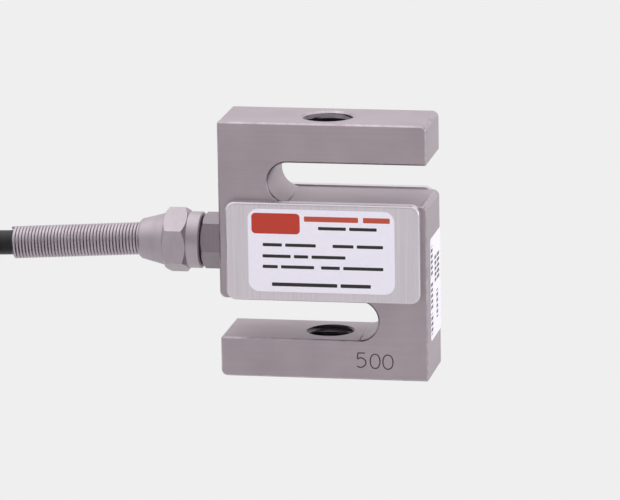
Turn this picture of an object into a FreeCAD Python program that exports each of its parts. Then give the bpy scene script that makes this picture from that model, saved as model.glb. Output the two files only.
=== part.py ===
import FreeCAD, Part
import math
import os
import Sketcher

# S type load cell: an S-shaped steel spring element that is pulled or pushed along +Z between two
# threaded holes, with a binocular gauge cavity under two pressed covers and a sprung cable gland.
# Frame: origin at the centre of the base face on the load axis, +X right, +Y back, +Z up.
# The cable leaves towards -X. Millimetres.

doc = FreeCAD.newDocument("s_type_load_cell")
sheet = doc.addObject("Spreadsheet::Sheet", "Sizes")
Vector = FreeCAD.Vector

driving_sizes = [
    # spring element
    ("body_width", 51.0), ("body_height", 63.0), ("body_depth", 19.0),
    ("arm_height", 9.75), ("slot_height", 9.75), ("slot_reach", 13.3),
    ("corner_radius", 1.5), ("small_corner_radius", 0.6), ("edge_break", 0.4),
    ("thread_radius", 5.1), ("outer_mouth_radius", 6.6), ("inner_mouth_radius", 5.8),
    ("gauge_bore_radius", 7.5), ("gauge_bore_offset", 10.0), ("link_height", 8.0),
    ("gland_height", 31.5), ("entry_radius", 4.25), ("ring_recess_radius", 5.3), ("ring_recess_depth", 1.0),
    # pressed covers and the sealant bead inside them
    ("cover_width", 47.4), ("cover_height", 24.2), ("cover_depth", 2.5), ("cover_corner", 2.3),
    ("cover_sheet", 0.5), ("cover_edge", 0.6), ("cover_shift_right", 0.3), ("cover_centre_height", 31.75),
    ("bead_width", 1.2), ("bead_height", 1.0),
    # labels
    ("label_thickness", 0.12), ("front_label_width", 35.8), ("front_label_height", 20.4),
    ("front_label_corner", 2.6), ("front_label_centre", 0.1), ("front_label_centre_height", 32.2),
    ("side_label_width", 14.8), ("side_label_height", 25.3), ("side_label_corner", 1.2),
    ("side_label_centre", 1.7), ("side_label_centre_height", 21.65),
    # strain gauges and the terminal board
    ("gauge_thickness", 0.25), ("gauge_clearance", 0.02), ("gauge_length", 6.0), ("gauge_half_angle", 22.0),
    ("board_length", 12.0), ("board_width", 10.0), ("board_thickness", 1.0),
    ("pad_length", 4.4), ("pad_width", 9.0), ("pad_thickness", 0.6),
    ("resistor_radius", 0.8), ("resistor_length", 4.2), ("resistor_spacing", 3.6),
    ("solder_radius", 0.65), ("solder_top_radius", 0.3), ("solder_height", 0.6), ("solder_spacing", 2.4),
    ("solder_inset", 1.1), ("core_diameter", 1.3), ("lead_diameter", 0.4),
    # gland: distances along the cable axis are measured out from the element's left face
    ("spigot_radius", 4.2), ("spigot_length", 6.5), ("hex_across_flats", 12.0), ("hex_length", 5.4),
    ("hex_corner_angle", 12.5), ("hex_chamfer_length", 0.8), ("hex_chamfer_depth", 1.4),
    ("nose_radius", 5.0), ("nose_end", 12.6), ("gland_bore_radius", 3.3),
    ("seat_radius", 4.3), ("seat_start", 8.0),
    ("grommet_radius", 4.2), ("grommet_bore_radius", 3.02), ("grommet_end", 13.4),
    ("clamp_thickness", 0.8), ("clamp_bore_radius", 3.2),
    ("seal_ring_section", 0.48), ("seal_ring_radius", 4.72),
    ("nut_start", 5.7), ("skirt_radius", 6.9), ("skirt_length", 3.3),
    ("nut_across_flats", 14.2), ("nut_corner_angle", 33.7), ("nut_hex_length", 5.8), ("nut_chamfer", 1.5),
    ("tip_break", 0.15), ("skirt_break", 0.3),
    ("cone_radius", 6.45), ("cone_tip_radius", 4.9), ("cone_length", 6.0), ("tip_radius", 4.5),
    ("tip_length", 0.6), ("mouth_radius", 4.1), ("mouth_length", 0.9),
    ("spring_pocket_radius", 4.5), ("spring_pocket_depth", 3.6), ("nut_thread_radius", 5.05),
    # strain relief spring and cable
    ("spring_radius", 4.0), ("spring_wire", 0.75), ("spring_pitch", 0.82), ("spring_turns", 42),
    ("spring_groove_depth", 0.27), ("spring_pivot", 20.8), ("spring_inside", 2.2), ("spring_droop", 3.4),
    ("cable_diameter", 6.0), ("jacket_start", 2.0), ("sheathed_end", 51.5),
    ("hank_end_left", 118.0), ("hank_centre_front", 16.8), ("hank_run", 55.0), ("hank_outer_turn", 25.0),
    ("hank_inner_turn", 19.0), ("hank_height", 33.0), ("hank_corner", 1.8), ("tie_width", 9.0),
    ("tie_thickness", 0.8), ("tail_length", 18.0), ("drain_diameter", 0.9), ("tinned_length", 4.0),
]
for row, (alias, value) in enumerate(driving_sizes, start=1):
    sheet.set(f"A{row}", alias.replace("_", " "))
    sheet.set(f"B{row}", str(value))
    sheet.setAlias(f"B{row}", alias)
doc.recompute()


class Size:
    """A length that is both a number and the sheet expression it comes from."""

    def __init__(self, value, text):
        self.value = value
        self.text = text

    def joined(self, sign, other, value):
        return Size(value, f"({self.text} {sign} {getattr(other, 'text', other)})")

    def __add__(self, other):
        return self.joined("+", other, self.value + plain(other))

    def __sub__(self, other):
        return self.joined("-", other, self.value - plain(other))

    def __mul__(self, factor):
        return self.joined("*", factor, self.value * factor)

    def __truediv__(self, divisor):
        return self.joined("/", divisor, self.value / divisor)

    def __neg__(self):
        return Size(-self.value, f"(-{self.text})")


def plain(size):
    return getattr(size, "value", size)


def named(alias):
    return Size(float(sheet.get(alias)), f"Sizes.{alias}")


# ---------------------------------------------------------------- sketch and feature helpers

def new_body(label):
    body = doc.addObject("PartDesign::Body", label)
    body.Label = label
    return body


def origin_feature(body, role):
    return next(item for item in body.Origin.OriginFeatures if item.Role == role)


def new_sketch(body, role, offset=None):
    sketch = body.newObject("Sketcher::SketchObject", "Sketch")
    sketch.AttachmentSupport = [(origin_feature(body, role), "")]
    sketch.MapMode = "FlatFace"
    if offset is not None:
        sketch.setExpression("AttachmentOffset.Base.z", offset.text)
        sketch.AttachmentOffset = FreeCAD.Placement(Vector(0, 0, offset.value), FreeCAD.Rotation())
    return sketch


def hold(sketch, kind, geometry, point, size):
    """Fix one coordinate of a sketch point to a sheet expression, or to an axis where it is zero."""
    if plain(size) == 0:
        axis = -2 if kind == "DistanceX" else -1
        sketch.addConstraint(Sketcher.Constraint("PointOnObject", geometry, point, axis))
        return
    index = sketch.addConstraint(Sketcher.Constraint(kind, -1, 1, geometry, point, plain(size)))
    if isinstance(size, Size):
        sketch.setExpression(f"Constraints[{index}]", size.text)


def outline(sketch, points):
    """A closed outline of straight lines through points whose coordinates are sizes."""
    first = sketch.GeometryCount
    count = len(points)
    for index, (across, up) in enumerate(points):
        next_across, next_up = points[(index + 1) % count]
        start = Vector(plain(across), plain(up), 0)
        sketch.addGeometry(Part.LineSegment(start, Vector(plain(next_across), plain(next_up), 0)), False)
    for index, (across, up) in enumerate(points):
        joint = Sketcher.Constraint("Coincident", first + (index - 1) % count, 2, first + index, 1)
        sketch.addConstraint(joint)
        hold(sketch, "DistanceX", first + index, 1, across)
        hold(sketch, "DistanceY", first + index, 1, up)


def rectangle(sketch, left, bottom, right, top):
    outline(sketch, [(left, bottom), (right, bottom), (right, top), (left, top)])


def circle(sketch, across, up, radius):
    centre = Vector(plain(across), plain(up), 0)
    index = sketch.addGeometry(Part.Circle(centre, Vector(0, 0, 1), radius.value), False)
    hold(sketch, "DistanceX", index, 3, across)
    hold(sketch, "DistanceY", index, 3, up)
    limit = sketch.addConstraint(Sketcher.Constraint("Radius", index, radius.value))
    sketch.setExpression(f"Constraints[{limit}]", radius.text)


def rounded_rectangle(sketch, across, up, width, height, radius):
    """Four lines and four tangent corner arcs, held by the arcs' centres and their radius."""
    corners = [(1, 1, 0), (-1, 1, 90), (-1, -1, 180), (1, -1, 270)]
    centres = [((width / 2 - radius) * side + across, (height / 2 - radius) * rise + up)
               for side, rise, _ in corners]
    arcs = []
    for (side, rise, start), (x, y) in zip(corners, centres):
        arc = Part.ArcOfCircle(Part.Circle(Vector(x.value, y.value, 0), Vector(0, 0, 1), radius.value),
                               math.radians(start), math.radians(start + 90))
        arcs.append(sketch.addGeometry(arc, False))
    for number, arc in enumerate(arcs):
        following = arcs[(number + 1) % 4]
        line = sketch.addGeometry(Part.LineSegment(sketch.getPoint(arc, 2), sketch.getPoint(following, 1)), False)
        sketch.addConstraint(Sketcher.Constraint("Tangent", arc, 2, line, 1))
        sketch.addConstraint(Sketcher.Constraint("Tangent", line, 2, following, 1))
    for arc, (x, y) in zip(arcs, centres):
        hold(sketch, "DistanceX", arc, 3, x)
        hold(sketch, "DistanceY", arc, 3, y)
    limit = sketch.addConstraint(Sketcher.Constraint("Radius", arcs[0], radius.value))
    sketch.setExpression(f"Constraints[{limit}]", radius.text)
    for arc in arcs[1:]:
        sketch.addConstraint(Sketcher.Constraint("Equal", arcs[0], arc))


def add_feature(body, kind, sketch, **settings):
    """Add a sketch-based feature. Size values are bound to the sheet; the rest is set as it is."""
    before = body.Shape.Volume if body.Shape.Solids else 0.0
    feature = body.newObject(f"PartDesign::{kind}", kind)
    feature.Profile = sketch
    for name, value in settings.items():
        if isinstance(value, Size):
            setattr(feature, name, value.value)
            feature.setExpression(name, value.text)
        else:
            setattr(feature, name, value)
    sketch.Visibility = False
    doc.recompute()
    changed = body.Shape.Volume - before
    cuts = kind in ("Pocket", "Groove")
    if cuts == (changed > -1e-6):
        raise RuntimeError(f"{body.Label}: {kind} changed the volume by {changed:.3f}")
    return feature


def turn(body, kind, sketch, axis="X_Axis"):
    return add_feature(body, kind, sketch, ReferenceAxis=(origin_feature(body, axis), [""]), Angle=360.0)


def edges_where(shape, test):
    """Names of the edges whose bounding box passes the test."""
    return [f"Edge{number}" for number, edge in enumerate(shape.Edges, start=1) if test(edge.BoundBox)]


def dress(body, kind, size_name, size, test):
    """Round or chamfer the edges of the body's tip that pass the test."""
    tip = body.Tip
    feature = body.newObject(f"PartDesign::{kind}", kind)
    feature.Base = (tip, edges_where(tip.Shape, test))
    setattr(feature, size_name, size.value)
    feature.setExpression(size_name, size.text)
    doc.recompute()
    return feature


def same(value, *wanted):
    return any(abs(value - plain(item)) < 1e-4 for item in wanted)


def place(body, **moves):
    """Bind the body's position to the sheet: across is X, up is Z."""
    for name, letter in (("across", "x"), ("up", "z")):
        if name in moves:
            body.setExpression(f"Placement.Base.{letter}", moves[name].text)


def hexagon(sketch, across_flats, corner_angle):
    """A hexagon round the sketch's origin; corner_angle is the direction of one corner in degrees."""
    corner = across_flats / math.sqrt(3)
    angles = [math.radians(plain(corner_angle) + 60 * step) for step in range(6)]
    outline(sketch, [(corner * round(math.cos(angle), 6), corner * round(math.sin(angle), 6))
                     for angle in angles])


# ---------------------------------------------------------------- spring element

half_width = named("body_width") / 2
half_depth = named("body_depth") / 2
height = named("body_height")
arm = named("arm_height")
slot_height = named("slot_height")
slot_radius = slot_height / 2
gland_height = named("gland_height")


def slot_sketch(body, side, floor):
    """A slot that opens on one side (+1 right, -1 left) and ends in a full radius near the other."""
    sketch = new_sketch(body, "XZ_Plane")
    centre = (slot_radius - named("slot_reach")) * side
    mouth = (half_width + 1) * side
    top = floor + slot_height
    middle = floor + slot_radius
    corners = [(centre, floor), (mouth, floor), (mouth, top), (centre, top)]
    for (start_x, start_y), (end_x, end_y) in zip(corners, corners[1:]):
        line = Part.LineSegment(Vector(start_x.value, start_y.value, 0), Vector(end_x.value, end_y.value, 0))
        sketch.addGeometry(line, False)
    round_end = Part.Circle(Vector(centre.value, middle.value, 0), Vector(0, 0, 1), slot_radius.value)
    start = math.radians(90 if side > 0 else -90)
    sketch.addGeometry(Part.ArcOfCircle(round_end, start, start + math.pi), False)
    top_point, floor_point = (1, 2) if side > 0 else (2, 1)
    for line, point, following, start_point in ((0, 2, 1, 1), (1, 2, 2, 1), (2, 2, 3, top_point),
                                                (0, 1, 3, floor_point)):
        sketch.addConstraint(Sketcher.Constraint("Coincident", line, point, following, start_point))
    for line, point, (x, y) in ((0, 1, corners[0]), (0, 2, corners[1]), (1, 2, corners[2]),
                                (2, 2, corners[3])):
        hold(sketch, "DistanceX", line, point, x)
        hold(sketch, "DistanceY", line, point, y)
    hold(sketch, "DistanceX", 3, 3, centre)
    return sketch


def load_bore_sketch(body):
    """Half sections of the two tapped holes on the load axis, countersunk at both mouths."""
    sketch = new_sketch(body, "XZ_Plane")
    radius = named("thread_radius")
    for floor, top, low_mouth, high_mouth in (
            (None, arm, named("outer_mouth_radius"), named("inner_mouth_radius")),
            (height - arm, height, named("inner_mouth_radius"), named("outer_mouth_radius"))):
        low = 0 if floor is None else floor
        low_edge = low_mouth - radius if floor is None else floor + low_mouth - radius
        outline(sketch, [(0, low), (low_mouth, low), (radius, low_edge),
                         (radius, top - high_mouth + radius), (high_mouth, top), (0, top)])
    return sketch


def make_element():
    body = new_body("s_body")
    sketch = new_sketch(body, "XZ_Plane")
    rectangle(sketch, -half_width, 0, half_width, height)
    add_feature(body, "Pad", sketch, Length=named("body_depth"), SideType="Symmetric")
    through = {"Type": "ThroughAll", "SideType": "Symmetric"}
    add_feature(body, "Pocket", slot_sketch(body, 1, height - arm - slot_height), **through)
    add_feature(body, "Pocket", slot_sketch(body, -1, arm), **through)

    rounded = [(half_width, height), (half_width, height - arm - slot_height),
               (-half_width, arm + slot_height), (-half_width, 0)]
    crisp = [(-half_width, height), (half_width, height - arm), (-half_width, arm), (half_width, 0)]
    for corners, radius in ((rounded, named("corner_radius")), (crisp, named("small_corner_radius"))):
        dress(body, "Fillet", "Radius", radius, lambda box: box.YLength > 10 and any(
            same(box.XMin, x) and same(box.XMax, x) and same(box.ZMin, z) and same(box.ZMax, z)
            for x, z in corners))
    dress(body, "Chamfer", "Size", named("edge_break"), lambda box: box.YLength < 1e-4
          and same(abs(box.YMin), half_depth))

    # binocular gauge cavity: two through bores joined by a link slot
    sketch = new_sketch(body, "XZ_Plane")
    offset = named("gauge_bore_offset")
    for x in (-offset, offset):
        circle(sketch, x, gland_height, named("gauge_bore_radius"))
    add_feature(body, "Pocket", sketch, **through)
    sketch = new_sketch(body, "XZ_Plane")
    half_link = named("link_height") / 2
    rectangle(sketch, -offset, gland_height - half_link, offset, gland_height + half_link)
    add_feature(body, "Pocket", sketch, **through)

    turn(body, "Groove", load_bore_sketch(body), "Z_Axis")

    # cable entry, tapped from the left face into the cavity, with a recess for the sealing ring
    inward = {"Reversed": True}
    for radius, depth in ((named("entry_radius"), half_width - offset),
                          (named("ring_recess_radius"), named("ring_recess_depth"))):
        sketch = new_sketch(body, "YZ_Plane", -half_width)
        circle(sketch, 0, gland_height, radius)
        add_feature(body, "Pocket", sketch, Length=depth, **inward)
    return body


# ---------------------------------------------------------------- covers, beads and labels

def make_cover(label, turned):
    """A pan pressed from thin sheet, open towards the element."""
    body = new_body(label)
    shift = named("cover_shift_right") * (-1 if turned else 1)
    sheet_thickness = named("cover_sheet")
    width = named("cover_width")
    tall = named("cover_height")
    middle = named("cover_centre_height")
    sketch = new_sketch(body, "XZ_Plane", half_depth)
    rounded_rectangle(sketch, shift, middle, width, tall, named("cover_corner"))
    add_feature(body, "Pad", sketch, Length=named("cover_depth"))
    face = -(half_depth + named("cover_depth"))
    dress(body, "Fillet", "Radius", named("cover_edge"),
          lambda box: same(box.YMin, face) and same(box.YMax, face))
    sketch = new_sketch(body, "XZ_Plane", half_depth)
    rounded_rectangle(sketch, shift, middle, width - sheet_thickness * 2, tall - sheet_thickness * 2,
                      named("cover_corner") - sheet_thickness)
    add_feature(body, "Pocket", sketch, Length=named("cover_depth") - sheet_thickness, Reversed=True)
    if turned:
        body.Placement = FreeCAD.Placement(Vector(), FreeCAD.Rotation(Vector(0, 0, 1), 180))
    return body


def make_bead(label, turned):
    """The ring of sealant that bonds a cover to the element, just inside the cover's wall."""
    body = new_body(label)
    shift = named("cover_shift_right") * (-1 if turned else 1)
    inset = named("cover_sheet")
    bead = named("bead_width")
    sketch = new_sketch(body, "XZ_Plane", half_depth)
    for margin in (inset, inset + bead):
        rounded_rectangle(sketch, shift, named("cover_centre_height"), named("cover_width") - margin * 2,
                          named("cover_height") - margin * 2, named("cover_corner") - margin)
    add_feature(body, "Pad", sketch, Length=named("bead_height"))
    if turned:
        body.Placement = FreeCAD.Placement(Vector(), FreeCAD.Rotation(Vector(0, 0, 1), 180))
    return body


def make_label(label, role, centre, middle, width, tall, corner, offset):
    """A thin bare label stuck on a face."""
    body = new_body(label)
    sketch = new_sketch(body, role, offset)
    rounded_rectangle(sketch, centre, middle, width, tall, corner)
    add_feature(body, "Pad", sketch, Length=named("label_thickness"))
    return body


# ---------------------------------------------------------------- inside the cavity

def make_gauge(label, side, rise):
    """A foil gauge bonded to the thin wall of one bore, above (+1) or below (-1) its centre."""
    outer = named("gauge_bore_radius") - named("gauge_clearance")
    thin = named("gauge_thickness")
    spread = plain(named("gauge_half_angle"))
    foil = doc.addObject("Part::Cut", label)
    drums = []
    for radius, extra in ((outer, 0), (outer - thin, 1)):
        drum = doc.addObject("Part::Cylinder", f"{label}_{'core' if extra else 'drum'}")
        drum.setExpression("Radius", radius.text)
        drum.setExpression("Height", (named("gauge_length") + 2 * extra).text)
        drum.Angle = 2 * spread if not extra else 360
        half_length = (named("gauge_length") / 2 + extra).value
        start = 90 * rise - spread if not extra else 0
        axis = FreeCAD.Rotation(Vector(1, 0, 0), 90)
        drum.Placement = FreeCAD.Placement(
            Vector(side * plain(named("gauge_bore_offset")), half_length, gland_height.value),
            axis * FreeCAD.Rotation(Vector(0, 0, 1), start))
        drums.append(drum)
    foil.Base, foil.Tool = drums
    foil.Label = label
    return foil


def make_board_stack():
    """The terminal board on its adhesive pad, both lying on the cavity's central web."""
    web = gland_height - named("link_height") / 2
    made = []
    for label, length, width, floor, thickness in (
            ("board_pad", named("pad_length"), named("pad_width"), web, named("pad_thickness")),
            ("terminal_board", named("board_length"), named("board_width"), web + named("pad_thickness"),
             named("board_thickness"))):
        body = new_body(label)
        sketch = new_sketch(body, "XY_Plane", floor)
        rectangle(sketch, -length / 2, -width / 2, length / 2, width / 2)
        add_feature(body, "Pad", sketch, Length=thickness)
        made.append(body)
    return made


board_top = gland_height - named("link_height") / 2 + named("pad_thickness") + named("board_thickness")
solder_x = named("board_length") / 2 - named("solder_inset")
solder_rows = [-1.5, -0.5, 0.5, 1.5]


def make_resistor(label, side):
    """A film resistor lying across the board."""
    body = new_body(label)
    sketch = new_sketch(body, "XZ_Plane")
    circle(sketch, named("resistor_spacing") / 2 * side, board_top + named("resistor_radius"),
           named("resistor_radius"))
    add_feature(body, "Pad", sketch, Length=named("resistor_length"), SideType="Symmetric")
    rim = named("resistor_length") / 2
    dress(body, "Chamfer", "Size", named("resistor_radius") / 3,
          lambda box: box.YLength < 1e-4 and same(abs(box.YMin), rim))
    return body


def make_solder():
    """Eight solder joints, four along each end of the board, each a small tapered pad with six sides."""
    radius = plain(named("solder_radius"))
    top_radius = plain(named("solder_top_radius"))
    rise = plain(named("solder_height"))
    joints = []
    for side in (-1, 1):
        for row in solder_rows:
            foot = Vector(side * solder_x.value, row * plain(named("solder_spacing")), board_top.value)
            rings = []
            for reach, lift in ((radius, 0), (top_radius, rise)):
                corners = [foot + Vector(reach * math.cos(math.radians(60 * step)),
                                         reach * math.sin(math.radians(60 * step)), lift)
                           for step in range(7)]
                rings.append(Part.makePolygon(corners))
            joints.append(Part.makeLoft(rings, True, True))
    group = doc.addObject("Part::Feature", "solder_joints")
    group.Shape = Part.makeCompound(joints)
    group.Label = "solder_joints"
    return group


# ---------------------------------------------------------------- gland, all turned about the cable axis

def from_face(distance):
    """A position along the cable axis, measured out to the left of the element's face."""
    return -(half_width + distance)


def finish_turned(body):
    place(body, up=gland_height)
    return body


def make_gland_body():
    body = new_body("gland_body")
    hex_end = from_face(named("hex_length"))
    sketch = new_sketch(body, "YZ_Plane", hex_end)
    hexagon(sketch, named("hex_across_flats"), named("hex_corner_angle"))
    add_feature(body, "Pad", sketch, Length=named("hex_length"))
    # spigot into the element on the right, threaded nose inside the nut on the left
    sketch = new_sketch(body, "XZ_Plane")
    outline(sketch, [(from_face(named("nose_end")), 0), (from_face(named("nose_end")), named("nose_radius")),
                     (hex_end, named("nose_radius")), (from_face(0), named("nose_radius")),
                     (from_face(0), named("spigot_radius")),
                     (named("spigot_length") - half_width, named("spigot_radius")),
                     (named("spigot_length") - half_width, 0)])
    turn(body, "Revolution", sketch)
    # the hexagon's outer corners are turned off at its left end
    flat = named("hex_across_flats") / 2
    outside = flat + named("hex_chamfer_depth")
    sketch = new_sketch(body, "XZ_Plane")
    outline(sketch, [(hex_end, flat), (hex_end + named("hex_chamfer_length"), outside), (hex_end, outside)])
    turn(body, "Groove", sketch)
    sketch = new_sketch(body, "XZ_Plane")
    outline(sketch, [(from_face(named("nose_end") + 1), 0),
                     (from_face(named("nose_end") + 1), named("seat_radius")),
                     (from_face(named("seat_start")), named("seat_radius")),
                     (from_face(named("seat_start")), named("gland_bore_radius")),
                     (named("spigot_length") - half_width + 1, named("gland_bore_radius")),
                     (named("spigot_length") - half_width + 1, 0)])
    turn(body, "Groove", sketch)
    return finish_turned(body)


def make_ring(label, inner, outer, left, right):
    """A plain turned ring between two positions on the cable axis."""
    body = new_body(label)
    sketch = new_sketch(body, "XZ_Plane")
    rectangle(sketch, left, inner, right, outer)
    turn(body, "Revolution", sketch)
    return finish_turned(body)


def make_seal_ring():
    body = new_body("gland_seal_ring")
    middle = from_face(0) + named("ring_recess_depth") / 2
    radius = named("seal_ring_radius")
    half = named("seal_ring_section")
    flat = half * 0.42
    sketch = new_sketch(body, "XZ_Plane")
    outline(sketch, [(middle - half, radius - flat), (middle - flat, radius - half),
                     (middle + flat, radius - half), (middle + half, radius - flat),
                     (middle + half, radius + flat), (middle + flat, radius + half),
                     (middle - flat, radius + half), (middle - half, radius + flat)])
    turn(body, "Revolution", sketch)
    return finish_turned(body)


def make_nut():
    """Compression nut: turned skirt, chamfered hexagon and a long cone that holds the spring."""
    body = new_body("compression_nut")
    hex_right = from_face(named("nut_start") + named("skirt_length"))
    hex_left = hex_right - named("nut_hex_length")
    sketch = new_sketch(body, "YZ_Plane", hex_left)
    hexagon(sketch, named("nut_across_flats"), named("nut_corner_angle"))
    add_feature(body, "Pad", sketch, Length=named("nut_hex_length"))
    flat = named("nut_across_flats") / 2
    outside = flat + named("nut_chamfer") * 1.2
    sketch = new_sketch(body, "XZ_Plane")
    for end, inward in ((hex_left, 1), (hex_right, -1)):
        outline(sketch, [(end, flat - 0.1), (end + named("nut_chamfer") * inward, outside), (end, outside)])
    turn(body, "Groove", sketch)
    cone_tip = hex_left - named("cone_length")
    nut_end = cone_tip - named("tip_length")
    skirt_end = from_face(named("nut_start"))
    sketch = new_sketch(body, "XZ_Plane")
    tip_break = named("tip_break")
    skirt_break = named("skirt_break")
    outline(sketch, [(nut_end, 0), (nut_end, named("tip_radius") - tip_break),
                     (nut_end + tip_break, named("tip_radius")), (cone_tip, named("cone_tip_radius")),
                     (hex_left, named("cone_radius")), (hex_right, named("skirt_radius")),
                     (skirt_end - skirt_break, named("skirt_radius")),
                     (skirt_end, named("skirt_radius") - skirt_break), (skirt_end, 0)])
    turn(body, "Revolution", sketch)
    land = nut_end + named("mouth_length")
    pocket_end = nut_end + named("spring_pocket_depth")
    thread_end = from_face(named("grommet_end") + named("clamp_thickness"))
    sketch = new_sketch(body, "XZ_Plane")
    outline(sketch, [(nut_end - 1, 0), (nut_end - 1, named("mouth_radius")), (land, named("mouth_radius")),
                     (land, named("spring_pocket_radius")), (pocket_end, named("spring_pocket_radius")),
                     (pocket_end, named("gland_bore_radius")), (thread_end, named("gland_bore_radius")),
                     (thread_end, named("nut_thread_radius")), (skirt_end + 1, named("nut_thread_radius")),
                     (skirt_end + 1, 0)])
    turn(body, "Groove", sketch)
    return finish_turned(body)


def make_spring():
    """Close-wound strain relief: a sleeve turned with one V groove between each pair of turns.

    It is built level, with its pivot in the nut's mouth at the origin, then drooped about Y.
    """
    body = new_body("strain_relief_spring")
    outer = named("spring_radius")
    valley = outer - named("spring_groove_depth")
    inner = outer - named("spring_wire")
    inside = named("spring_inside")
    pitch = named("spring_pitch")
    turns = int(plain(named("spring_turns")))
    ridges = []
    for number in range(turns):
        ridges += [(inside - pitch * number, valley), (inside - pitch * (number + 0.5), outer)]
    left = inside - pitch * turns
    sketch = new_sketch(body, "XZ_Plane")
    outline(sketch, [(inside, inner)] + ridges + [(left, valley), (left, inner)])
    turn(body, "Revolution", sketch)
    place(body, across=from_face(named("spring_pivot")), up=gland_height)
    body.Placement.Rotation = FreeCAD.Rotation(Vector(0, 1, 0), -plain(named("spring_droop")))
    return body


# ---------------------------------------------------------------- wires and the cable

def route_radii(points, share=0.45):
    """The arc radius at each inner point: share of the shorter run over the tangent of half the turn."""
    radii = []
    for before, corner, after in zip(points, points[1:], points[2:]):
        turn_angle = (corner - before).getAngle(after - corner)
        shorter = min((corner - before).Length, (after - corner).Length)
        radii.append(share * shorter / math.tan(turn_angle / 2))
    return radii


def route_wire(points, share=0.45):
    """Straight runs joined by tangent arcs."""
    edges = []
    last = points[0]
    for before, corner, after in zip(points, points[1:], points[2:]):
        reach = share * min((corner - before).Length, (after - corner).Length)
        back = (before - corner).normalize()
        ahead = (after - corner).normalize()
        start = corner + back * reach
        end = corner + ahead * reach
        radius = reach / math.tan((math.pi - back.getAngle(ahead)) / 2)
        bisector = (back + ahead).normalize()
        centre_distance = math.hypot(radius, reach)
        middle = corner + bisector * (centre_distance - radius)
        edges.append(Part.LineSegment(last, start).toShape())
        edges.append(Part.Arc(start, middle, end).toShape())
        last = end
    edges.append(Part.LineSegment(last, points[-1]).toShape())
    return Part.Wire(edges)


def tube(points, diameter, mitred=False):
    """A round solid along a route, with arcs at its corners, or mitred where the wire is fine and stiff."""
    wire = Part.makePolygon(points) if mitred else route_wire(points)
    direction = points[1] - points[0]
    section = Part.Wire(Part.makeCircle(diameter / 2, points[0], direction))
    solid = Part.Solid(wire.makePipeShell([section], True, not mitred, 1 if mitred else 0))
    expected = math.pi * diameter ** 2 / 4 * wire.Length
    if abs(solid.Volume / expected - 1) > 0.01:
        raise RuntimeError(f"tube volume {solid.Volume:.1f}, expected {expected:.1f}")
    return solid, wire.Length


def add_shape(label, shape):
    part = doc.addObject("Part::Feature", label)
    part.Shape = shape
    part.Label = label
    return part


face_x = -half_width.value
cable_diameter = plain(named("cable_diameter"))
droop = math.radians(plain(named("spring_droop")))
pivot = Vector(face_x - plain(named("spring_pivot")), 0, gland_height.value)
axis_out = Vector(-math.cos(droop), 0, -math.sin(droop))
sheathed_end_x = face_x - plain(named("sheathed_end"))
sheathed_end = pivot + axis_out * ((pivot.x - sheathed_end_x) / math.cos(droop))
hank_end = Vector(-plain(named("hank_end_left")), -plain(named("hank_centre_front")), 0)
hank_centre = hank_end - Vector(plain(named("hank_run")) / 2, 0, 0)
hank_edges = (named("hank_inner_turn") - named("cable_diameter") / 2,
              named("hank_outer_turn") + named("cable_diameter") / 2)


def on_outer_turn(degrees, up, inward=0):
    """A point on the hank's outer turn, round the end near the body, or a little inside it."""
    angle = math.radians(degrees)
    reach = plain(named("hank_outer_turn")) - inward
    return hank_end + Vector(reach * math.cos(angle), reach * math.sin(angle), up)


# the free cable: out of the spring, then aside and onto the hank's top outer turn
entry_depth = 0.7
hank_start = on_outer_turn(70.0, plain(named("hank_height")) - cable_diameter / 2 - entry_depth, entry_depth)
cable_route = [sheathed_end, sheathed_end + axis_out * 12.0, hank_start]


def make_sheathed_cable():
    """The cable from its stripped end in the gland, through the grommet and the spring."""
    start = Vector(face_x - plain(named("jacket_start")), 0, gland_height.value)
    return add_shape("sheathed_cable", tube([start, pivot, sheathed_end], cable_diameter)[0])


def oval(sketch, run, radius):
    """Two straight runs joined by half circles, centred on the sketch's origin."""
    arcs = []
    for side in (1, -1):
        circle_there = Part.Circle(Vector(side * run.value / 2, 0, 0), Vector(0, 0, 1), radius.value)
        start = math.radians(-90 * side)
        arcs.append(sketch.addGeometry(Part.ArcOfCircle(circle_there, start, start + math.pi), False))
    for arc, following in (arcs, arcs[::-1]):
        line = sketch.addGeometry(Part.LineSegment(sketch.getPoint(arc, 2), sketch.getPoint(following, 1)), False)
        sketch.addConstraint(Sketcher.Constraint("Tangent", arc, 2, line, 1))
        sketch.addConstraint(Sketcher.Constraint("Tangent", line, 2, following, 1))
    for arc, side in zip(arcs, (1, -1)):
        hold(sketch, "DistanceX", arc, 3, run / 2 * side)
        hold(sketch, "DistanceY", arc, 3, 0)
    limit = sketch.addConstraint(Sketcher.Constraint("Radius", arcs[0], radius.value))
    sketch.setExpression(f"Constraints[{limit}]", radius.text)


def make_hank():
    """The put-away length: one solid of the hank's outer shape, on the floor, with room below for its ties."""
    body = new_body("cable_hank")
    inner, outer = hank_edges
    sketch = new_sketch(body, "XY_Plane")
    for radius in (outer, inner):
        oval(sketch, named("hank_run"), radius)
    add_feature(body, "Pad", sketch, Length=named("hank_height"))
    dress(body, "Chamfer", "Size", named("hank_corner"), lambda box: box.ZLength < 1e-4)
    sketch = new_sketch(body, "XY_Plane")
    half_tie = named("tie_width") / 2
    rectangle(sketch, -half_tie, inner - 1, half_tie, outer + 1)
    rectangle(sketch, -half_tie, -outer - 1, half_tie, -inner + 1)
    add_feature(body, "Pocket", sketch, Length=named("tie_thickness"), Reversed=True)
    body.Placement.Base = hank_centre
    return body


def tie_outline(sketch, near, far, bottom, top, low_corner, high_corner):
    """A rectangle with its corners cut off, smaller at the floor than at the top."""
    outline(sketch, [(near + low_corner, bottom), (far - low_corner, bottom), (far, low_corner + bottom),
                     (far, top - high_corner), (far - high_corner, top), (near + high_corner, top),
                     (near, top - high_corner), (near, low_corner + bottom)])


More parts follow.
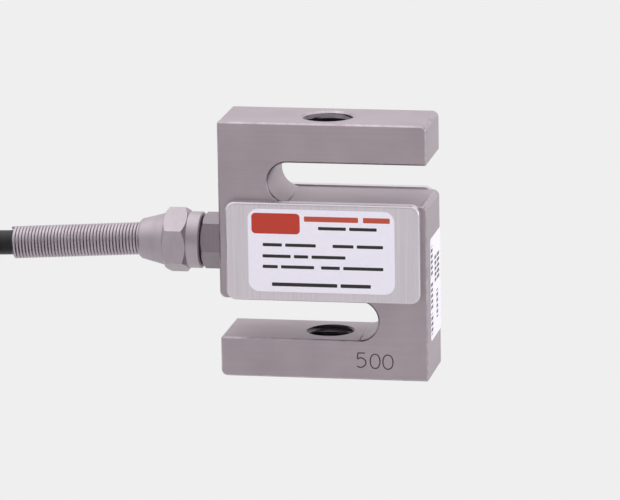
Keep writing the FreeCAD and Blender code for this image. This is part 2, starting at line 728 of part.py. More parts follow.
def make_tie(label, side):
    """A strap round one run of the hank; side is +1 for the back run and -1 for the front one."""
    body = new_body(label)
    inner, outer = hank_edges
    near, far = (inner, outer) if side > 0 else (-outer, -inner)
    thickness = named("tie_thickness")
    high_corner = named("hank_corner")
    low_corner = high_corner - thickness
    wider = thickness * (2 - math.sqrt(2))
    top = named("hank_height")
    sketch = new_sketch(body, "YZ_Plane")
    tie_outline(sketch, near - thickness, far + thickness, 0, top + thickness, low_corner + wider,
                high_corner + wider)
    tie_outline(sketch, near, far, thickness, top, low_corner, high_corner)
    add_feature(body, "Pad", sketch, Length=named("tie_width"), SideType="Symmetric")
    body.Placement.Base = hank_centre
    return body


# the stripped end: it leaves the hank's lowest outer turn and lies on the floor in front of the gland
tail_ahead = Vector(1, 0, 0)
tail_aside = Vector(0, 1, 0)
tail_start = on_outer_turn(270.0, cable_diameter / 2)
tail_end = tail_start + tail_ahead * plain(named("tail_length"))
core_diameter = plain(named("core_diameter"))
core_starts = {"red_core": (-0.9, 0.9), "green_core": (0.9, 0.9), "white_core": (-0.9, -0.9),
               "black_core": (0.9, -0.9)}
core_spreads = {"red_core": -1.9, "green_core": 6.6, "white_core": 2.4, "black_core": 12.0}
tinned_share = 0.32


def beside_tail(ahead, aside, up):
    """A point past the jacket's end, measured along the tail, across it and up from its centreline."""
    return tail_end + tail_ahead * ahead + tail_aside * aside + Vector(0, 0, up)


def stripped_core(label):
    """One core of the stripped end: it fans out and down, and its tinned tip rests on the floor."""
    aside, lift = core_starts[label]
    bend = beside_tail(5, aside, lift)
    tip_radius = core_diameter * tinned_share
    rest = beside_tail(19.5, core_spreads[label], tip_radius - cable_diameter / 2)
    tip_way = (rest - bend).normalize()
    core_end = rest - tip_way * plain(named("tinned_length"))
    solid, length = tube([beside_tail(0, aside, lift), bend, core_end], core_diameter)
    tip = Part.makeCylinder(tip_radius, plain(named("tinned_length")), core_end, tip_way)
    return add_shape(label, solid.fuse(tip).removeSplitter())


def make_drain():
    """The bare drain wire of the screen, between the cores."""
    diameter = plain(named("drain_diameter"))
    floor = (diameter - cable_diameter) / 2
    points = [beside_tail(0, 0, 0), beside_tail(5, 0, 0), beside_tail(17, 4.6, floor)]
    return add_shape("drain_wire", tube(points, diameter)[0])


def make_inner_core(label, row):
    """One core inside: from the stripped jacket end, through the entry, to its solder joint."""
    aside, lift = core_starts[label]
    pad_y = row * plain(named("solder_spacing"))
    diameter = core_diameter * 0.8
    landing = board_top.value + plain(named("solder_height")) + diameter / 2
    points = [Vector(face_x - plain(named("jacket_start")), aside, gland_height.value + lift),
              Vector(-14.0, aside, gland_height.value + lift),
              Vector(-solder_x.value, pad_y, landing)]
    return add_shape(f"inner_{label}", tube(points, diameter)[0])


def make_leads():
    """Fine leads from the four gauges to the board's far solder joints."""
    diameter = plain(named("lead_diameter"))
    landing = board_top.value + plain(named("solder_height")) + diameter / 2
    solids = []
    for side, rise, row in ((1, 1, 0.5), (1, -1, -0.5), (-1, 1, 1.5), (-1, -1, -1.5)):
        y = row * plain(named("solder_spacing"))
        end = Vector(solder_x.value, y, landing)
        gauge_x = side * plain(named("gauge_bore_offset"))
        start = Vector(gauge_x, y * 0.4, gland_height.value + rise * 6.9)
        reach = Vector(solder_x.value + 1.4, y, gland_height.value + rise * 1.6)
        if side < 0:
            waypoints = [Vector(gauge_x + 1.0, y * 1.6, gland_height.value + rise * 2.0),
                         Vector(0, y * 1.5, gland_height.value + 1.4 + rise)]
        else:
            waypoints = [Vector(gauge_x - 0.6, y * 0.8, gland_height.value + rise * 4.6)]
        solids.append(tube([start] + waypoints + [reach, end], diameter, mitred=True)[0])
    return add_shape("gauge_leads", Part.makeCompound(solids))


# ---------------------------------------------------------------- build

element = make_element()
parts = [element]
for side_name, turned in (("front", False), ("rear", True)):
    parts.append(make_cover(f"{side_name}_cover", turned))
    parts.append(make_bead(f"{side_name}_cover_seal", turned))
parts.append(make_label("front_label", "XZ_Plane", named("front_label_centre"),
                        named("front_label_centre_height"), named("front_label_width"),
                        named("front_label_height"), named("front_label_corner"),
                        half_depth + named("cover_depth")))
parts.append(make_label("side_label", "YZ_Plane", named("side_label_centre"),
                        named("side_label_centre_height"), named("side_label_width"),
                        named("side_label_height"), named("side_label_corner"), half_width))
for rise_name, rise in (("upper", 1), ("lower", -1)):
    for side_name, side in (("left", -1), ("right", 1)):
        parts.append(make_gauge(f"{rise_name}_{side_name}_gauge", side, rise))
parts += make_board_stack()
parts += [make_resistor("balance_resistor", -1), make_resistor("span_resistor", 1), make_solder()]
for label, row in zip(core_starts, (-1.5, 0.5, -0.5, 1.5)):
    parts.append(make_inner_core(label, row))
parts.append(make_leads())
parts += [make_gland_body(), make_seal_ring()]
parts.append(make_ring("sealing_grommet", named("grommet_bore_radius"), named("grommet_radius"),
                       from_face(named("grommet_end")), from_face(named("seat_start"))))
parts.append(make_ring("clamp_ring", named("clamp_bore_radius"), named("grommet_radius"),
                       from_face(named("grommet_end") + named("clamp_thickness")),
                       from_face(named("grommet_end"))))
parts += [make_nut(), make_spring(), make_sheathed_cable()]

hank = make_hank()
doc.recompute()
for name, points in (("cable", cable_route), ("cable_tail", [tail_start, tail_end])):
    solid, length = tube(points, cable_diameter)
    radii = [round(radius, 1) for radius in route_radii(points)]
    print(f"{name}: length {length:.1f}, volume {solid.Volume:.1f}, section times length "
          f"{math.pi * cable_diameter ** 2 / 4 * length:.1f}, radii {radii}")
    parts.append(add_shape(name, solid.cut(hank.Shape)))
parts += [hank, make_tie("hank_tie_back", 1), make_tie("hank_tie_front", -1)]
parts += [stripped_core(label) for label in core_starts]
parts.append(make_drain())

doc.recompute()
for item in doc.Objects:
    if "Invalid" in item.State or "Error" in item.State:
        raise RuntimeError(f"{item.Label} failed: {item.State}")
for part in parts:
    if part.Shape.isNull() or not part.Shape.isValid() or not part.Shape.Solids:
        raise RuntimeError(f"{part.Label} has no valid solid")

os.makedirs("parts", exist_ok=True)
for part in parts:
    part.Shape.exportStep(os.path.join("parts", f"{part.Label}.step"))
print(f"{len(parts)} sub-parts written")
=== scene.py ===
import math

import bmesh
import bpy
from mathutils import Euler, Matrix, Vector


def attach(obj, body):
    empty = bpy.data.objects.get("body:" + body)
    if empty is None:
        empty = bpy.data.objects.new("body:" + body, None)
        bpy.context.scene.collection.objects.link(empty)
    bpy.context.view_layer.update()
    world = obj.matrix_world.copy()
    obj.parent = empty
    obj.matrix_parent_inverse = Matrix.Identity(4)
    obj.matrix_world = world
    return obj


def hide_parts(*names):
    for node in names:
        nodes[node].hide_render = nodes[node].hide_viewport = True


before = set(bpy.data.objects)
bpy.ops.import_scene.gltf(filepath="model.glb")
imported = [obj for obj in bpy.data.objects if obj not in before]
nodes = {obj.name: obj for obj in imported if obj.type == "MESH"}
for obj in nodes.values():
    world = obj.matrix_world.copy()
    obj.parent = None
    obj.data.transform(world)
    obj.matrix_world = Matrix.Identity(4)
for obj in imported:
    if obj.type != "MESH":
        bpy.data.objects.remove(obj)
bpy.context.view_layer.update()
mm = 0.001


def inMetres(point):
    return Vector(point) * mm


# shader maths: a Signal wraps a socket, and sums and comparisons of signals add Math nodes
class Signal:
    def __init__(self, finish, socket):
        self.finish = finish
        self.socket = socket

    def maths(self, operation, first, second):
        return self.finish.node("ShaderNodeMath", {"operation": operation}, {0: first, 1: second})

    def __add__(self, other):
        return self.maths("ADD", self, other)

    def __sub__(self, other):
        return self.maths("SUBTRACT", self, other)

    def __rsub__(self, other):
        return self.maths("SUBTRACT", other, self)

    def __mul__(self, other):
        return self.maths("MULTIPLY", self, other)

    def __lt__(self, other):
        return self.maths("LESS_THAN", self, other)

    def __gt__(self, other):
        return self.maths("GREATER_THAN", self, other)

    def __abs__(self):
        return self.maths("ABSOLUTE", self, 0)


# one material: its Principled shader, and the ways to add nodes in front of it
class Finish:
    def __init__(self, name, constants):
        self.material = bpy.data.materials.new(name)
        self.material.use_nodes = True
        self.tree = self.material.node_tree
        self.tree.nodes.clear()
        self.shader = self.tree.nodes.new("ShaderNodeBsdfPrincipled")
        self.output = self.tree.nodes.new("ShaderNodeOutputMaterial")
        self.tree.links.new(self.shader.outputs[0], self.output.inputs["Surface"])
        for socketName, value in constants.items():
            self.shader.inputs[socketName].default_value = value
        self.coordinates = self.tree.nodes.new("ShaderNodeTexCoord")
        self.place = Signal(self, self.coordinates.outputs["Object"])
        self.facing = Signal(self, self.coordinates.outputs["Normal"])

    def node(self, kind, settings, inputs, output=0):
        made = self.tree.nodes.new(kind)
        for setting, value in settings.items():
            setattr(made, setting, value)
        for key, value in inputs.items():
            if isinstance(value, Signal):
                self.tree.links.new(value.socket, made.inputs[key])
            else:
                made.inputs[key].default_value = value
        return Signal(self, made.outputs[output])

    def split(self, vector):
        return [self.node("ShaderNodeSeparateXYZ", {}, {0: vector}, axis) for axis in range(3)]

    def stretched(self, scale):
        return self.node("ShaderNodeMapping", {}, {"Vector": self.place, "Scale": scale})

    def noise(self, vector, scale, detail=2, roughness=0.5):
        return self.node("ShaderNodeTexNoise", {}, {"Vector": vector, "Scale": scale, "Detail": detail,
                                                    "Roughness": roughness})

    def between(self, factor, first, second):
        return self.node("ShaderNodeMix", {"data_type": "RGBA"}, {0: factor, 6: first, 7: second}, 2)

    def ramp(self, factor, start, end):
        return self.node("ShaderNodeMapRange", {"clamp": True},
                         {"Value": factor, "From Min": start, "From Max": end})

    def feed(self, socketName, signal):
        self.tree.links.new(signal.socket, self.shader.inputs[socketName])

    def bump(self, height, strength, distance):
        self.feed("Normal", self.node("ShaderNodeBump", {}, {"Height": height, "Strength": strength,
                                                             "Distance": distance}))


def rgb(red, green, blue):
    # screen colour, 0 to 255, as the linear colour a shader wants
    def linear(value):
        value /= 255
        return value / 12.92 if value <= 0.04045 else ((value + 0.055) / 1.055) ** 2.4
    return (linear(red), linear(green), linear(blue), 1)


def newMesh(bm, name, material, smoothAngle=30):
    mesh = bpy.data.meshes.new(name)
    bm.to_mesh(mesh)
    bm.free()
    mesh.shade_smooth()
    mesh.set_sharp_from_angle(angle=math.radians(smoothAngle))
    piece = bpy.data.objects.new(name, mesh)
    bpy.context.scene.collection.objects.link(piece)
    mesh.materials.append(material)
    return piece


def evaluated(piece):
    graph = bpy.context.evaluated_depsgraph_get()
    return bpy.data.meshes.new_from_object(piece.evaluated_get(graph))


def dressNode(name, finish):
    materials = nodes[name].data.materials
    materials.clear()
    materials.append(finish.material)


# camera
camera = {
    "place": (0.21854, -1.17257, 0.30921),
    "turn": (76.818, 0.891, 10.582),
    "lens": 293.1,
    "sensor": 36.0,
}
cameraData = bpy.data.cameras.new("camera")
cameraData.lens = camera["lens"]
cameraData.sensor_width = camera["sensor"]
cameraData.clip_start = 0.05
cameraPiece = bpy.data.objects.new("camera", cameraData)
cameraPiece.location = camera["place"]
cameraPiece.rotation_euler = Euler([math.radians(angle) for angle in camera["turn"]])
bpy.context.scene.collection.objects.link(cameraPiece)
bpy.context.scene.camera = cameraPiece
bpy.context.scene.view_settings.view_transform = "Standard"

# cable: out of the spring, aside onto its hank, round it and out at the bottom
cable = {
    "diameter": 6.0,
    "declaredLength": 3.0,
    "exit": (-77.0, 0, 29.676),
    "route": [(-77.0, 0, 29.676), (-88.98, 0, 28.964)],
    "hankEnd": (-118.0, -16.8),
    "hankRun": 55.0,
    "tracks": (25.0, 19.0),
    "turns": 12,
    "rowDrop": 5.4,
    "firstAngle": 70,
    "lastAngle": 270,
    "pointsInTurn": 18,
    "tail": 18.0,
    "sides": 5,
}


def hankPoints():
    # an oval wound two turns to a row; each turn crosses to the next one along the front run
    def turnPlace(turn):
        row = turn // 2
        return cable["tracks"][(turn + row) % 2], (cable["turns"] // 2 - 1 - row) * cable["rowDrop"]

    points = []
    step = 360 // cable["pointsInTurn"]
    last = 360 * (cable["turns"] - 1) + cable["lastAngle"]
    for degrees in range(cable["firstAngle"], last + step, step):
        angle = math.radians(degrees)
        around = degrees % 360
        for farEnd in {90: (0, 1), 270: (1, 0)}.get(around, (int(90 < around < 270),)):
            radius, lift = turnPlace(min((degrees + 90 - farEnd) // 360, cable["turns"] - 1))
            points.append((cable["hankEnd"][0] - farEnd * cable["hankRun"] + radius * math.cos(angle),
                           cable["hankEnd"][1] + radius * math.sin(angle), cable["diameter"] / 2 + lift))
    end = Vector(points[-1])
    return points + [end + Vector((cable["tail"] * share, 0, 0)) for share in (0.5, 1)]


def makeCord(name, points, diameter, sides, finish):
    curve = bpy.data.curves.new(name, "CURVE")
    curve.dimensions = "3D"
    curve.bevel_depth = diameter / 2 * mm
    curve.bevel_resolution = sides
    curve.use_fill_caps = True
    curve.resolution_u = 6
    spline = curve.splines.new("NURBS")
    spline.points.add(len(points) - 1)
    for point, place in zip(spline.points, points):
        point.co = (*inMetres(place), 1)
    spline.order_u = 3
    spline.use_endpoint_u = True
    spline.use_smooth = True
    curve.materials.append(finish.material)
    piece = bpy.data.objects.new(name, curve)
    bpy.context.scene.collection.objects.link(piece)
    return piece


def plasticFinish(name, colour, roughness, speck=0.06):
    finish = Finish(name, {"Roughness": roughness, "Specular IOR Level": 0.5})
    clouds = finish.noise(finish.place, 220, 3)
    grain = finish.noise(finish.place, 2600, 2)
    darker = [value * (1 - speck * 2) for value in colour[:3]] + [1]
    lighter = [min(1, value * (1 + speck) + speck * 0.02) for value in colour[:3]] + [1]
    finish.feed("Base Color", finish.between(clouds, darker, lighter))
    finish.feed("Roughness", grain * 0.16 + (roughness - 0.08))
    finish.bump(grain, 0.12, 0.00005)
    return finish


jacket = plasticFinish("blackJacket", rgb(14, 13, 16), 0.5, 0.12)
cablePiece = makeCord("cable_in_its_hank", cable["route"] + hankPoints(), cable["diameter"], cable["sides"],
                      jacket)
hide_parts("cable", "cable_tail", "cable_hank")
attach(cablePiece, "root")
print("camera and cable done")


# metals
def metalFinish(name, spec):
    # grain runs along one axis, and along a second one on the faces that look along the first
    finish = Finish(name, {"Metallic": spec["metallic"], "Roughness": spec["roughness"]})
    along = finish.stretched(spec["grain"])
    streaks = finish.noise(along, 1, 3, 0.6)
    if "endGrain" in spec:
        ends = finish.noise(finish.stretched(spec["endGrain"]), 1, 3, 0.6)
        facingX = finish.split(finish.facing)[0]
        atEnd = abs(facingX) > 0.7
        streaks = streaks * (1 - atEnd) + ends * atEnd
    clouds = finish.noise(finish.place, spec["clouds"], 3)
    speck = finish.noise(finish.place, 5200, 1)
    shade = clouds * spec["cloudShare"] + streaks * (1 - spec["cloudShare"])
    finish.feed("Base Color", finish.between(finish.ramp(shade, 0.25, 0.75), spec["dark"], spec["light"]))
    smoothest = spec["roughness"] - spec["roughnessSwing"] / 2
    finish.feed("Roughness", streaks * spec["roughnessSwing"] + smoothest)
    finish.bump(streaks * 0.6 + speck * 0.4, spec["bump"], 0.00003)
    return finish


bodySteel = metalFinish("satinSteel", {
    "metallic": 0.85, "roughness": 0.45, "roughnessSwing": 0.14, "grain": (35, 2600, 2600),
    "endGrain": (2600, 2600, 35), "clouds": 90, "cloudShare": 0.6, "bump": 0.16,
    "dark": rgb(163, 152, 158), "light": rgb(181, 170, 176),
})
# chamfer faces: a lighter base colour along the edges, partly wear and partly a painted highlight
edgeWearAndPaintedHighlight = metalFinish("wornEdgeSteelPaintedHighlight", {
    "metallic": 1.0, "roughness": 0.4, "roughnessSwing": 0.1, "grain": (600, 600, 600),
    "clouds": 300, "cloudShare": 0.5, "bump": 0.2,
    "dark": rgb(160, 150, 156), "light": rgb(196, 187, 193),
})
# faces inside the engraved grooves: a darker base colour, painted shade in the grooves
stampGroovePaintedShade = metalFinish("stampGrooveSteelPaintedShade", {
    "metallic": 0.85, "roughness": 0.5, "roughnessSwing": 0.1, "grain": (600, 600, 600),
    "clouds": 300, "cloudShare": 0.5, "bump": 0.1,
    "dark": rgb(96, 88, 92), "light": rgb(122, 113, 118),
})
# thread faces in the holes: a darker base colour, partly oil and partly painted shade inside the tapped holes
threadOilAndPaintedShade = metalFinish("threadSteelOilAndPaintedShade", {
    "metallic": 1.0, "roughness": 0.34, "roughnessSwing": 0.12, "grain": (500, 500, 2400),
    "clouds": 240, "cloudShare": 0.5, "bump": 0.2,
    "dark": rgb(86, 80, 84), "light": rgb(110, 104, 108),
})
coverSteel = metalFinish("brushedSheetSteel", {
    "metallic": 0.85, "roughness": 0.36, "roughnessSwing": 0.18, "grain": (3200, 3200, 45),
    "clouds": 60, "cloudShare": 0.25, "bump": 0.3,
    "dark": rgb(204, 197, 203), "light": rgb(226, 220, 226),
})
nickel = metalFinish("turnedNickel", {
    "metallic": 0.95, "roughness": 0.46, "roughnessSwing": 0.1, "grain": (2400, 120, 120),
    "clouds": 200, "cloudShare": 0.6, "bump": 0.12,
    "dark": rgb(166, 157, 163), "light": rgb(188, 179, 186),
})
# gland body: a darker copy of the nut's turned nickel, painted shade on the gland body
glandNickelPaintedShade = metalFinish("glandNickelPaintedShade", {
    "metallic": 0.95, "roughness": 0.46, "roughnessSwing": 0.1, "grain": (2400, 120, 120),
    "clouds": 200, "cloudShare": 0.6, "bump": 0.12,
    "dark": rgb(140, 131, 137), "light": rgb(160, 151, 157),
})
springSteel = metalFinish("drawnSpringWire", {
    "metallic": 1.0, "roughness": 0.38, "roughnessSwing": 0.04, "grain": (300, 300, 300),
    "clouds": 200, "cloudShare": 0.8, "bump": 0.01,
    "dark": rgb(170, 161, 168), "light": rgb(192, 183, 190),
})
print("metals done")

# body: a merged copy of the machined block, with its tapped threads and its engraved number cut in.
# the cutting is done in millimetres, on a copy a thousand times larger
threads = {"major": 6.0, "inner": 4.85, "pitch": 1.75, "crest": 0.22, "steps": 48, "armHeight": 9.75,
           "height": 63.0, "runOut": 1.75}
number = {"text": "500", "capHeight": 3.55, "stroke": 0.15, "face": -9.5, "begin": 6.97, "end": 17.5,
          "starts": (7.97, 11.25, 14.34), "widths": (2.21, 2.38, 2.48), "base": (3.15, 2.95, 2.85),
          "groove": (0.004, 0.2), "highest": 7.75}
digitStrokes = {
    "0": [([(0.5, 0), (1, 0.5), (0.5, 1), (0, 0.5)], True)],
    "5": [([(0.92, 1), (0.12, 1)], False), ([(0.13, 1), (0.06, 0.55)], False),
          ([(0.06, 0.57), (0.5, 0.66), (1, 0.34), (0.5, 0), (0.02, 0.06)], False)],
}
finishZones = {"chamferTilt": (0.25, 0.97), "hole": 6.7, "countersink": 6.05, "slotEnd": 22.0,
               "slotTilt": 0.02, "edge": 0.01, "flat": 0.9999}
bodyMaterials = {"ground": 0, "edge": 1, "thread": 2, "stamp": 3}


def makeThreadCutter(bottom, top):
    # a V ridge wound up the hole
    bm = bmesh.new()
    flank = (threads["major"] - threads["inner"]) * math.tan(math.radians(30))
    corners = [(threads["inner"], -threads["crest"] / 2 - flank), (threads["major"], -threads["crest"] / 2),
               (threads["major"], threads["crest"] / 2), (threads["inner"], threads["crest"] / 2 + flank)]
    start = bottom - threads["runOut"]
    face = bm.faces.new([bm.verts.new((radius, 0, start + lift)) for radius, lift in corners])
    turns = (top - bottom + 2 * threads["runOut"]) / threads["pitch"]
    steps = round(turns * threads["steps"])
    bmesh.ops.spin(bm, geom=[face] + list(face.verts) + list(face.edges), cent=(0, 0, 0), axis=(0, 0, 1),
                   dvec=(0, 0, threads["pitch"] / threads["steps"]),
                   angle=steps * 2 * math.pi / threads["steps"], steps=steps, use_merge=False)
    bmesh.ops.holes_fill(bm, edges=bm.edges)
    bmesh.ops.recalc_face_normals(bm, faces=bm.faces)
    return newMesh(bm, "threadCutter", threadOilAndPaintedShade.material)


def makeStrokeCutter(points, closed, left, width, base):
    # one pass of the engraving tool
    curve = bpy.data.curves.new("strokeCutter", "CURVE")
    curve.dimensions = "3D"
    curve.bevel_depth = number["stroke"]
    curve.bevel_resolution = 2
    curve.use_fill_caps = True
    curve.resolution_u = 10
    spline = curve.splines.new("BEZIER")
    spline.bezier_points.add(len(points) - 1)
    for point, (across, up) in zip(spline.bezier_points, points):
        point.co = (left + across * width, number["face"], base + up * number["capHeight"])
        point.handle_left_type = point.handle_right_type = "AUTO"
    spline.use_cyclic_u = closed
    piece = bpy.data.objects.new("strokeCutter", curve)
    bpy.context.scene.collection.objects.link(piece)
    bm = bmesh.new()
    bm.from_mesh(evaluated(piece))
    bpy.data.objects.remove(piece)
    bmesh.ops.remove_doubles(bm, verts=bm.verts, dist=0.001)
    bmesh.ops.recalc_face_normals(bm, faces=bm.faces)
    return newMesh(bm, "strokeCutter", bodySteel.material)


def tilted(slope):
    return finishZones["chamferTilt"][0] < abs(slope) < finishZones["chamferTilt"][1]


def surfaceOf(face):
    # which finish a face of the cut block gets, from where it lies and how it leans
    centre, normal = face.calc_center_median(), face.normal
    edge, armHeight, height = finishZones["edge"], threads["armHeight"], threads["height"]
    fromAxis = math.hypot(centre.x, centre.y)
    atArm = centre.z < armHeight - edge or centre.z > height - armHeight + edge
    inHole = fromAxis < finishZones["hole"] and edge < centre.z < height - edge
    stamped = number["groove"][0] < centre.y - number["face"] < number["groove"][1] \
        and number["begin"] < centre.x < number["end"] and centre.z < number["highest"]
    if stamped:
        return "stamp"
    if inHole and atArm:
        return "edge" if fromAxis > finishZones["countersink"] and tilted(normal.z) else "thread"
    slotEnd = abs(normal.y) < finishZones["slotTilt"] and abs(centre.x) < finishZones["slotEnd"]
    chamfered = tilted(normal.y) or (tilted(normal.z) and abs(normal.x) > finishZones["chamferTilt"][0])
    return "edge" if chamfered and not slotEnd else "ground"


def makeBody():
    bm = bmesh.new()
    bm.from_mesh(nodes["s_body"].data)
    bmesh.ops.remove_doubles(bm, verts=bm.verts, dist=0.000001)
    bmesh.ops.scale(bm, verts=bm.verts, vec=(1 / mm,) * 3)
    body = newMesh(bm, "machined_body", bodySteel.material)
    cutters = [makeThreadCutter(0, threads["armHeight"]),
               makeThreadCutter(threads["height"] - threads["armHeight"], threads["height"])]
    for digit, left, width, base in zip(number["text"], number["starts"], number["widths"], number["base"]):
        cutters += [makeStrokeCutter(points, closed, left, width, base)
                    for points, closed in digitStrokes[digit]]
    for cutter in cutters:
        cut = body.modifiers.new("cut", "BOOLEAN")
        cut.operation = "DIFFERENCE"
        cut.solver = "EXACT"
        cut.object = cutter
    mesh = evaluated(body)
    bpy.data.objects.remove(body)
    for cutter in cutters:
        bpy.data.objects.remove(cutter)
    bm = bmesh.new()
    bm.from_mesh(mesh)
    for face in bm.faces:
        face.material_index = bodyMaterials[surfaceOf(face)]
    bmesh.ops.scale(bm, verts=bm.verts, vec=(mm,) * 3)
    body = newMesh(bm, "machined_body", bodySteel.material)
    for finish in (edgeWearAndPaintedHighlight, threadOilAndPaintedShade, stampGroovePaintedShade):
        body.data.materials.append(finish.material)
    for polygon in body.data.polygons:
        polygon.use_smooth = max(abs(axis) for axis in polygon.normal) < finishZones["flat"]
    flatShade = body.modifiers.new("flat faces shade flat", "WEIGHTED_NORMAL")
    flatShade.keep_sharp = True
    return body


bodyPiece = makeBody()
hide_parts("s_body")
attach(bodyPiece, "root")
print("body done,", len(bodyPiece.data.polygons), "faces")

# spring: one wire wound close round the cable, from inside the cone's mouth outwards
spring = {"radius": 4.0, "wire": 0.8, "pitch": 0.819, "turns": 42, "steps": 28, "sides": 12, "inside": 2.3,
          "pivot": (-46.3, 0, 31.5), "droop": 3.4}


def makeSpring():
    bm = bmesh.new()
    ring = bmesh.ops.create_circle(bm, segments=spring["sides"], radius=spring["wire"] / 2 * mm, cap_ends=True)
    away = spring["radius"] - spring["wire"] / 2
    bmesh.ops.rotate(bm, verts=ring["verts"], cent=(0, 0, 0), matrix=Matrix.Rotation(math.pi / 2, 3, "X"))
    start = spring["inside"] - spring["wire"] / 2
    bmesh.ops.translate(bm, verts=ring["verts"], vec=inMetres((start, 0, away)))
    steps = spring["turns"] * spring["steps"]
    bmesh.ops.spin(bm, geom=list(bm.verts) + list(bm.edges) + list(bm.faces), cent=(0, 0, 0), axis=(1, 0, 0),
                   dvec=inMetres((-spring["pitch"] / spring["steps"], 0, 0)),
                   angle=2 * math.pi * spring["turns"], steps=steps, use_merge=False)
    bmesh.ops.holes_fill(bm, edges=bm.edges)
    bmesh.ops.recalc_face_normals(bm, faces=bm.faces)
    bmesh.ops.rotate(bm, verts=bm.verts, cent=(0, 0, 0),
                     matrix=Matrix.Rotation(-math.radians(spring["droop"]), 3, "Y"))
    bmesh.ops.translate(bm, verts=bm.verts, vec=inMetres(spring["pivot"]))
    return newMesh(bm, "wound_spring", springSteel.material, 60)


springPiece = makeSpring()
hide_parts("strain_relief_spring")
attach(springPiece, "root")
print("spring done,", len(springPiece.data.polygons), "faces")


# labels: plain blocks and bars printed on white film, lengths along the label and heights up it
def box(across, up, left, right, bottom, top, corner=0.2):
    aside = across.maths("MAXIMUM", abs(across - (left + right) / 2) - ((right - left) / 2 - corner), 0)
    above = across.maths("MAXIMUM", abs(up - (bottom + top) / 2) - ((top - bottom) / 2 - corner), 0)
    return aside * aside + above * above < corner * corner


def dashes(signal, pitch, share):
    return signal.maths("FLOORED_MODULO", signal, pitch) < pitch * share


def labelFinish(name, spec):
    finish = Finish(name, {"Roughness": spec["roughness"], "Coat Weight": 0.15, "Coat Roughness": 0.25})
    place = [axis * 1000 for axis in finish.split(finish.place)]
    across, up = place[spec["across"]], place[spec["up"]]
    fibre = finish.noise(finish.place, 900, 3)
    colour = finish.between(fibre, spec["film"][0], spec["film"][1])
    for ink, bars in spec["print"]:
        mask = 0
        for bar in bars:
            mask = box(across, up, *bar) + mask
        if "dashes" in spec:
            mask = mask * dashes(up, *spec["dashes"])
        colour = finish.between(mask, colour, ink)
    finish.feed("Base Color", colour)
    finish.feed("Roughness", fibre * 0.12 + (spec["roughness"] - 0.06))
    finish.bump(fibre, 0.06, 0.00003)
    return finish


frontPrint = {
    "across": 0, "up": 2, "roughness": 0.38,
    "film": (rgb(238, 236, 247), rgb(244, 242, 252)),
    "print": [
        (rgb(190, 44, 14), [(-16.9, -5.05, 36.3, 41.4, 1.0)]),
        (rgb(190, 72, 48), [(-4.0, 9.2, 39.5, 40.8), (10.4, 16.9, 39.5, 40.8)]),
        (rgb(12, 11, 14), [
            (-0.6, 6.2, 37.5, 38.3), (7.0, 13.7, 37.5, 38.3),
            (-14.2, -9.5, 33.2, 34.0), (-8.7, -1.2, 33.2, 34.0),
            (2.9, 8.0, 33.2, 34.0), (8.8, 15.2, 33.2, 34.0),
            (-14.3, -7.4, 30.4, 31.2), (-6.6, -3.1, 30.4, 31.2), (-2.3, 6.0, 30.4, 31.2),
            (-14.3, -10.6, 27.8, 28.6), (-9.8, -1.7, 27.8, 28.6),
            (0.0, 4.6, 27.8, 28.6), (5.4, 15.2, 27.8, 28.6),
            (-12.1, 3.9, 23.4, 24.3), (4.7, 12.1, 23.4, 24.3),
        ]),
    ],
}
sidePrint = {
    "across": 1, "up": 2, "roughness": 0.38, "dashes": (1.4, 0.62),
    "film": (rgb(238, 236, 247), rgb(244, 242, 252)),
    "print": [
        (rgb(20, 19, 23), [
            (-5.2, -2.4, 10.4, 15.6), (-5.2, -2.4, 16.6, 23.6), (-5.2, -2.4, 24.6, 32.4),
            (2.6, 5.0, 13.0, 20.0), (0.2, 3.0, 22.4, 29.4), (3.8, 7.2, 22.4, 29.4),
        ]),
    ],
}
dressNode("front_label", labelFinish("frontLabelFilm", frontPrint))
dressNode("side_label", labelFinish("sideLabelFilm", sidePrint))
print("labels done")

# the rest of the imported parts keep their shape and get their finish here
white = plasticFinish("whiteSilicone", rgb(222, 222, 218), 0.5)
foil = metalFinish("etchedFoil", {
    "metallic": 0.6, "roughness": 0.35, "roughnessSwing": 0.1, "grain": (100, 3200, 3200),
    "clouds": 300, "cloudShare": 0.3, "bump": 0.2, "dark": rgb(176, 120, 50), "light": rgb(216, 170, 96),
})
solder = metalFinish("brightSolder", {
    "metallic": 1.0, "roughness": 0.22, "roughnessSwing": 0.1, "grain": (900, 900, 900),
    "clouds": 500, "cloudShare": 0.5, "bump": 0.1, "dark": rgb(184, 184, 190), "light": rgb(214, 214, 220),
})
tinned = metalFinish("tinnedStrands", {
    "metallic": 1.0, "roughness": 0.32, "roughnessSwing": 0.14, "grain": (1800, 1800, 600),
    "clouds": 300, "cloudShare": 0.4, "bump": 0.4, "dark": rgb(168, 160, 148), "light": rgb(206, 200, 188),
})
rubber = plasticFinish("blackNitrile", rgb(26, 26, 28), 0.6)
board = plasticFinish("greenBoard", rgb(20, 95, 55), 0.32, 0.1)
lacquer = plasticFinish("blueLacquer", rgb(70, 120, 170), 0.3)
coreColours = {"red": rgb(190, 35, 30), "green": rgb(30, 130, 60), "white": rgb(235, 235, 230),
               "black": rgb(30, 30, 32)}
strap = plasticFinish("blackStrap", rgb(40, 40, 44), 0.7)
tip = {"from": -84.2, "to": -79.0, "colour": rgb(190, 184, 174)}


def coreFinish(colour, shade):
    # insulation, with the last stretch of the stripped end bare and tinned
    finish = plasticFinish(f"{colour}Insulation", shade, 0.4)
    ahead = finish.split(finish.place)[0]
    bare = (ahead > tip["from"] * mm) * (ahead < tip["to"] * mm)
    socket = finish.shader.inputs["Base Color"]
    insulation = Signal(finish, socket.links[0].from_socket)
    finish.feed("Base Color", finish.between(bare, insulation, tip["colour"]))
    finish.feed("Metallic", bare)
    return finish


